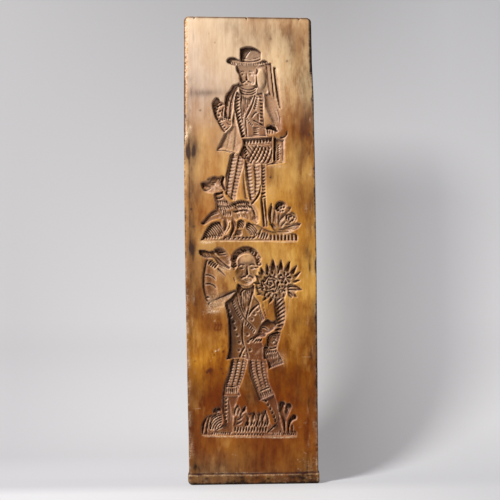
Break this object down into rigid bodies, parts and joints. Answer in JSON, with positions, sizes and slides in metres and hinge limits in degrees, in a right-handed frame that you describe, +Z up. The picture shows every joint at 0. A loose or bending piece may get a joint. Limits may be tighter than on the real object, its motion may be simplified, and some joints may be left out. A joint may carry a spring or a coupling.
{
  "type": "gingerbread mould",
  "caption": "Tall wooden gingerbread mould carved with a hunter and dog above a hat-raising suitor, on a low foot band.",
  "frame": {"origin": "centre of the underside of the foot, at the middle of the board's width and depth", "axes": "+Z up along the board's length, carved face towards -Y, +X to the viewer's right"},
  "size_m": [0.175, 0.03, 0.6223],
  "materials": {
    "wood": "worn, waxed fruitwood with a darker lower half"
  },
  "bodies": {
    "root": {"mould_board": "wood"}
  },
  "joints": []
}
